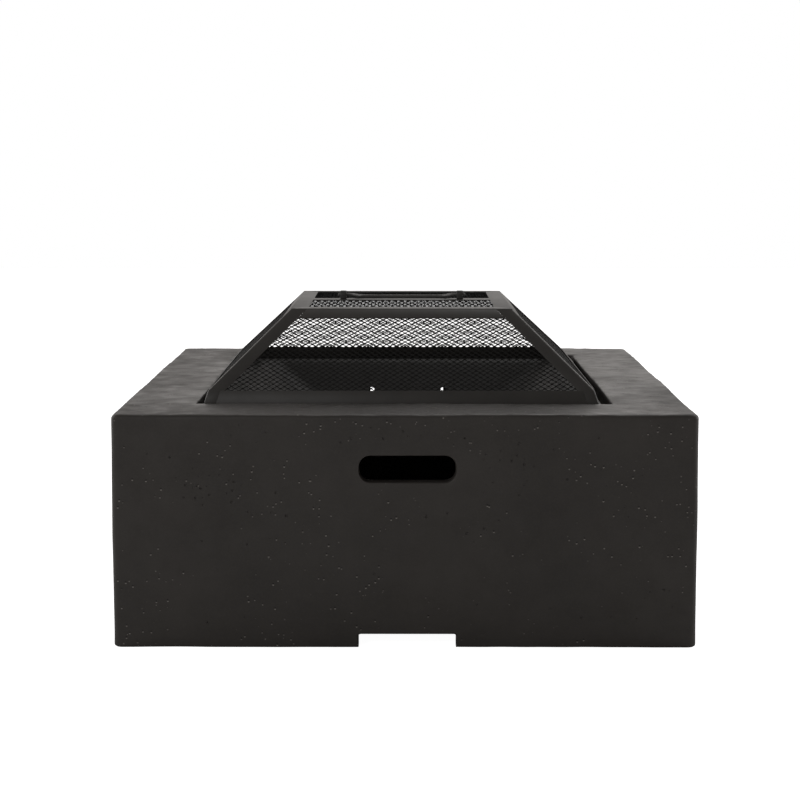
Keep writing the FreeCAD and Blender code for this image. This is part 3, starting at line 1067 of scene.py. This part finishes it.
def make_world():
    """A warm pale room, brightest low down behind the object. The camera sees it as white."""
    world = bpy.data.worlds.new("studio")
    world.use_nodes = True
    bpy.context.scene.world = world
    tree = world.node_tree
    background = tree.nodes["Background"]
    place = tree.nodes.new("ShaderNodeTexCoord")
    split = tree.nodes.new("ShaderNodeSeparateXYZ")
    tree.links.new(place.outputs["Generated"], split.inputs["Vector"])

    def ramp(source, from_low, from_high, to_low, to_high):
        made = tree.nodes.new("ShaderNodeMapRange")
        made.inputs["From Min"].default_value = from_low
        made.inputs["From Max"].default_value = from_high
        made.inputs["To Min"].default_value = to_low
        made.inputs["To Max"].default_value = to_high
        tree.links.new(split.outputs[source], made.inputs["Value"])
        return made.outputs["Result"]

    product = tree.nodes.new("ShaderNodeMath")
    product.operation = "MULTIPLY"
    front_to_back = ramp("Y", from_low=-0.6, from_high=0.95, to_low=0.24, to_high=1.0)
    low_to_high = ramp("Z", from_low=0.1, from_high=0.7, to_low=1.0, to_high=0.4)
    tree.links.new(front_to_back, product.inputs[0])
    tree.links.new(low_to_high, product.inputs[1])
    path = tree.nodes.new("ShaderNodeLightPath")
    seen = tree.nodes.new("ShaderNodeMix")
    seen.data_type = "FLOAT"
    tree.links.new(path.outputs["Is Camera Ray"], seen.inputs["Factor"])
    tree.links.new(product.outputs["Value"], seen.inputs["A"])
    seen.inputs["B"].default_value = 1.0
    tree.links.new(seen.outputs["Result"], background.inputs["Strength"])
    tint = tree.nodes.new("ShaderNodeMix")
    tint.data_type = "RGBA"
    tree.links.new(path.outputs["Is Camera Ray"], tint.inputs["Factor"])
    colour_sockets = [socket for socket in tint.inputs if socket.type == "RGBA"]
    colour_sockets[0].default_value = WARM
    colour_sockets[1].default_value = WHITE
    result = next(socket for socket in tint.outputs if socket.type == "RGBA")
    tree.links.new(result, background.inputs["Color"])


def area_light(name, place, target, size, power):
    lamp = bpy.data.lights.new(name, "AREA")
    lamp.shape = "RECTANGLE"
    lamp.size = size[0]
    lamp.size_y = size[1]
    lamp.energy = power
    holder = bpy.data.objects.new(name, lamp)
    holder.location = place
    holder.rotation_euler = (Vector(target) - Vector(place)).to_track_quat("-Z", "Y").to_euler()
    bpy.context.collection.objects.link(holder)


def make_lights():
    """Soft lights over the back, at the front left, and low down at each side."""
    area_light("top_back", place=(0.9, 1.6, 2.4), target=(0, 0, 0.2), size=(2.4, 1.2), power=14)
    area_light("key", place=(-1.3, -2.4, 1.5), target=(-0.1, -0.3, 0.25), size=(0.9, 0.9), power=9)
    for name, side in (("left_rim", -1), ("right_rim", 1)):
        place = (side * 2.6, 0.9, 0.9)
        area_light(name, place, target=(0, 0, 0.25), size=(0.4, 1.4), power=14)


def make_camera():
    data = bpy.data.cameras.new("camera")
    data.lens = LENS_MM
    data.sensor_width = SENSOR_MM
    camera = bpy.data.objects.new("camera", data)
    camera.location = CAMERA_PLACE
    camera.rotation_euler = (math.pi / 2 - CAMERA_DOWN, 0, CAMERA_ASIDE)
    bpy.context.collection.objects.link(camera)
    bpy.context.scene.camera = camera


bpy.context.scene.view_settings.view_transform = "Standard"
make_camera()
make_world()
make_lights()
make_stage()

cast = cast_material()
lid_paint = paint_material("lid_paint", (0.045, 0.042, 0.039), (0.061, 0.057, 0.053), (0.42, 0.55))
# The mesh's paint is a darker copy of the lid's paint: painted shade standing in for how dim the mesh
# windows are
mesh_paint_painted_shade = paint_material(
    "mesh_paint_painted_shade", (0.012, 0.0115, 0.011), (0.019, 0.018, 0.017), (0.5, 0.65), gloss=0.2
)
bowl_paint = paint_material(
    "bowl_paint", (0.018, 0.017, 0.016), (0.028, 0.0262, 0.0245), (0.5, 0.66), gloss=0.4, dust=0.1
)
# The bail's paint is about twice as light as the lid's black paint: a painted highlight standing in for
# the light along the rod
rod_paint_with_painted_highlight = paint_material("rod_paint_with_painted_highlight", (0.095, 0.091, 0.087), (0.125, 0.12, 0.114), (0.4, 0.52))

give([make_shell()], cast)
give([make_bowl()], bowl_paint)
give(make_grate(), bowl_paint)
strips = [make_centre_strip()]
meshes = [make_top_mesh()]
for number, name in enumerate(SIDES):
    strips.append(make_rail(name, number))
    strips.append(make_corner(name, SIDES[(number + 1) % 4], number))
    strips.append(make_top_strip(name, number))
    meshes.append(make_side_mesh(name, number))
strips.append(make_lug("lug_left", "handle_lug_left", -LUG_X))
strips.append(make_lug("lug_right", "handle_lug_right", LUG_X))
give(strips, lid_paint)
give(meshes, mesh_paint_painted_shade)
give([make_bail()], rod_paint_with_painted_highlight)
